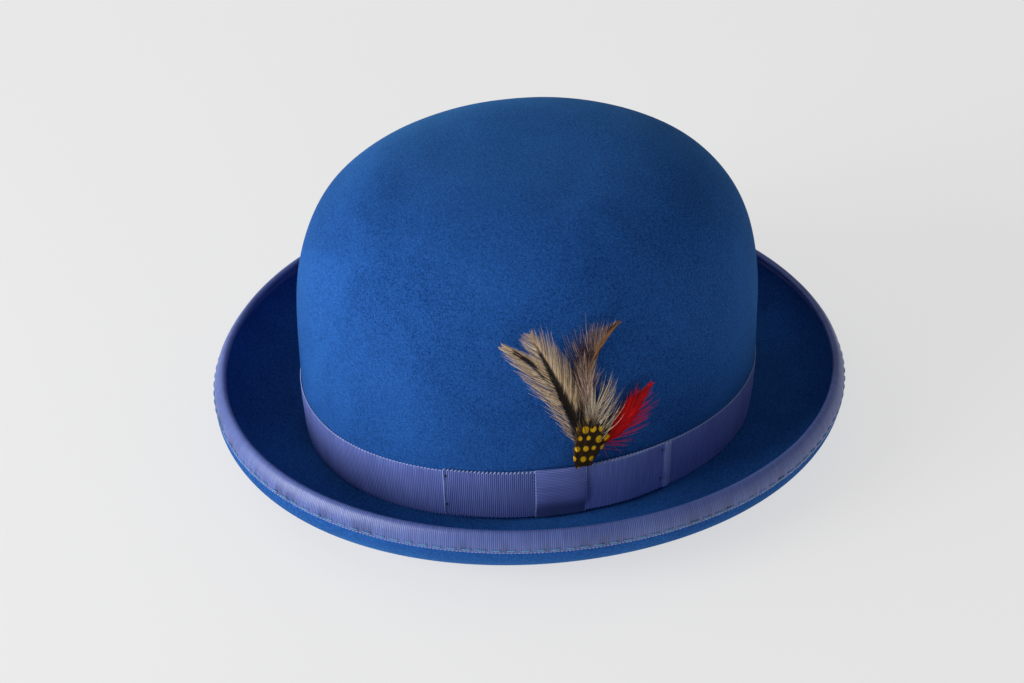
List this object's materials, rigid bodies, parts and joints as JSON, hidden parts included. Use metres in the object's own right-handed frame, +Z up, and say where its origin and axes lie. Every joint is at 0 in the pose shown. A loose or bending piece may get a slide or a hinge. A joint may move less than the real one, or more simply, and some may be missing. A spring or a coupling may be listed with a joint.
{
  "type": "bowler hat",
  "caption": "Felt bowler hat with a rolled ribbon-bound brim, ribbon band, flat side bow and a lift-out feather spray, with leather sweatband and satin lining.",
  "frame": {"origin": "centre of the hat on the surface it stands on, level with the lowest felt of the brim", "axes": "+Z up through the crown, -Y to the front of the hat, +X to the wearer's left, where the bow and the feathers are"},
  "size_m": [0.2642, 0.2885, 0.1355],
  "materials": {
    "felt": "matte wool felt, royal blue",
    "binding_ribbon": "grosgrain, violet blue",
    "band_ribbon": "grosgrain, violet blue",
    "knot_ribbon": "grosgrain turned across, slight sheen",
    "binding_thread": "light blue sewing thread",
    "dark_thread": "dark sewing thread",
    "pale_thread": "cream sewing thread",
    "sweat_leather": "smooth tan leather",
    "reed": "matte",
    "tape": "woven tape",
    "inner_ribbon": "narrow grosgrain",
    "satin": "silver grey satin",
    "piping": "satin cord",
    "tab_card": "thin brown leather board",
    "quill_thread": "waxed thread",
    "cream_feather": "cream hackle with a black centre",
    "brown_feather": "mottled brown feather",
    "grey_feather": "downy grey feather",
    "dark_feather": "black brown hackle",
    "red_feather": "dyed red hackle",
    "spotted_feather": "dark feather with yellow spots"
  },
  "bodies": {
    "hat": {"felt_body": "felt", "brim_binding": "binding_ribbon", "binding_stitches": "binding_thread", "hat_band": "band_ribbon", "bow_front_loop": "band_ribbon", "bow_rear_loop": "band_ribbon", "bow_knot": "knot_ribbon", "bow_tacks": "dark_thread", "sweatband": "sweat_leather", "sweatband_reed": "reed", "reed_tape": "tape", "sweatband_stitches": "pale_thread", "sweatband_seam": "sweat_leather", "sweatband_bow": "inner_ribbon", "lining_side": "satin", "lining_tip": "satin", "lining_piping": "piping"},
    "feather_spray": {"spray_tab": "tab_card", "quill_binding": "quill_thread", "cream_hackle_front": "cream_feather", "cream_hackle_rear": "cream_feather", "mottled_feather": "brown_feather", "grey_hackle": "grey_feather", "black_hackle": "dark_feather", "red_hackle": "red_feather", "guinea_feather": "spotted_feather"}
  },
  "joints": [
    {"name": "spray_lift", "type": "slide", "parent": "hat", "child": "feather_spray", "axis": [0.0419, 0, 0.9991], "range_m": [0, 0.04]}
  ]
}
